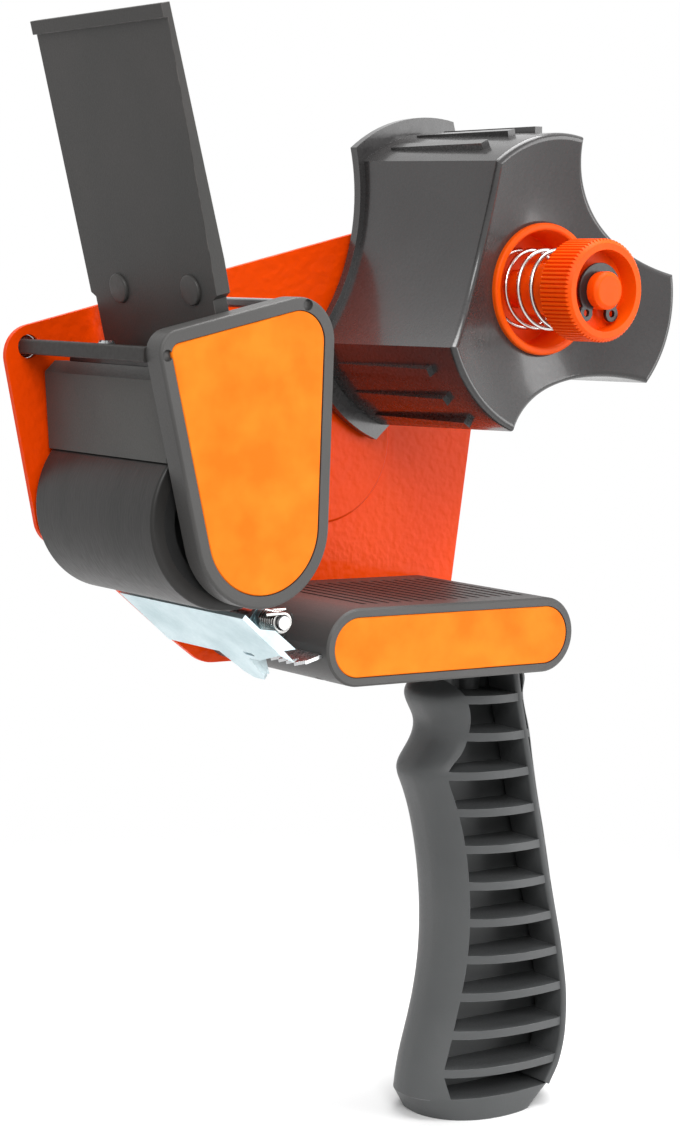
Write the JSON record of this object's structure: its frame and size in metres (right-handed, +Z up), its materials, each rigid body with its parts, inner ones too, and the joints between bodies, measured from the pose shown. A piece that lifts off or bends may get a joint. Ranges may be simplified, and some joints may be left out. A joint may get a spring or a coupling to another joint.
{
  "type": "packing tape dispenser",
  "caption": "Hand-held packing tape dispenser: steel side plate, pistol grip, three-armed core hub with screw knob and spring, rubber roller, tape flap and guarded blade.",
  "frame": {"origin": "middle of the pistol grip, where a hand or a robot's gripper holds it", "axes": "+X back from the roller to the tape hub, +Y from the open side to the steel side plate, +Z up"},
  "size_m": [0.1598, 0.0709, 0.2597],
  "materials": {
    "orange_paint": "gloss powder coat with a fine orange-peel texture",
    "grey_moulding": "satin moulded plastic, warm dark grey",
    "grip_moulding": "satin moulded plastic, mid grey",
    "orange_inlay": "satin orange, flat",
    "dark_bar": "satin black",
    "light_bar": "light grey satin",
    "roller_rubber": "satin rubber, dark grey",
    "dark_moulding": "satin moulded plastic, near black",
    "bush_moulding": "natural bearing plastic",
    "steel": "bright zinc-plated steel",
    "tongue_plastic": "satin moulded plastic, warm grey",
    "rivet_steel": "blackened steel",
    "zinc_screw": "bright zinc-plated steel",
    "zinc_sheet": "blue-white passivated zinc plate",
    "spring_steel": "drawn spring wire",
    "blade_steel": "hardened bright steel",
    "hub_plastic": "gloss moulded plastic, dark grey",
    "orange_plastic": "semi-gloss moulded plastic, saturated orange",
    "black_steel": "blackened spring steel"
  },
  "bodies": {
    "frame": {"side_plate": "orange_paint", "body_housing": "grey_moulding", "body_badge": "orange_inlay", "handle_grip": "grip_moulding", "handle_screws": "zinc_screw", "front_cover": "grey_moulding", "cover_inlay": "orange_inlay", "front_bar": "dark_bar", "rear_bar": "light_bar", "roller_axle": "steel", "press_pin": "steel", "guard_pin": "steel", "guard_collar": "zinc_sheet", "guard_spring": "spring_steel", "blade": "blade_steel", "blade_screws": "zinc_screw", "hub_post": "orange_plastic", "post_bolt": "zinc_screw", "circlip": "black_steel", "plate_screws": "zinc_screw", "cover_screws": "zinc_screw"},
    "roller": {"roller_sleeve": "roller_rubber", "roller_core": "dark_moulding", "roller_bushes": "bush_moulding"},
    "presser": {"press_block": "dark_moulding", "tongue_bracket": "steel", "tape_tongue": "tongue_plastic", "tongue_rivets": "rivet_steel", "tongue_screws": "zinc_screw"},
    "guard": {"blade_guard": "zinc_sheet"},
    "hub": {"tape_hub": "hub_plastic", "hub_cup": "orange_plastic"},
    "washer": {"thrust_washer": "steel", "tension_spring": "spring_steel"},
    "knob": {"tension_knob": "orange_plastic"}
  },
  "joints": [
    {"name": "roller_spin", "type": "hinge", "parent": "frame", "child": "roller", "pos_m": [-0.0947, 0, 0.0923], "axis": [0, 1, 0], "continuous": true},
    {"name": "press_tilt", "type": "hinge", "parent": "frame", "child": "presser", "pos_m": [-0.102, 0, 0.1195], "axis": [0, 1, 0], "range_deg": [0, 12]},
    {"name": "guard_swing", "type": "hinge", "parent": "frame", "child": "guard", "pos_m": [-0.079, 0, 0.0687], "axis": [0, -1, 0], "range_deg": [0, 12], "stiffness_Nm_per_rad": 0.02, "springref_deg": -28.65, "deforming": ["guard_spring"]},
    {"name": "hub_spin", "type": "hinge", "parent": "frame", "child": "hub", "pos_m": [-0.004, 0, 0.1443], "axis": [0, 1, 0], "continuous": true},
    {"name": "knob_advance", "type": "slide", "parent": "frame", "child": "washer", "axis": [0, 1, 0], "range_m": [0, 0.0031], "deforming": ["tension_spring"]},
    {"name": "knob_turn", "type": "hinge", "parent": "washer", "child": "knob", "pos_m": [-0.004, 0, 0.1443], "axis": [0, 1, 0], "range_deg": [0, 540]}
  ],
  "couplings": [
    {"joint": "knob_advance", "follows": "knob_turn", "m_per_rad": 0.00031831}
  ]
}
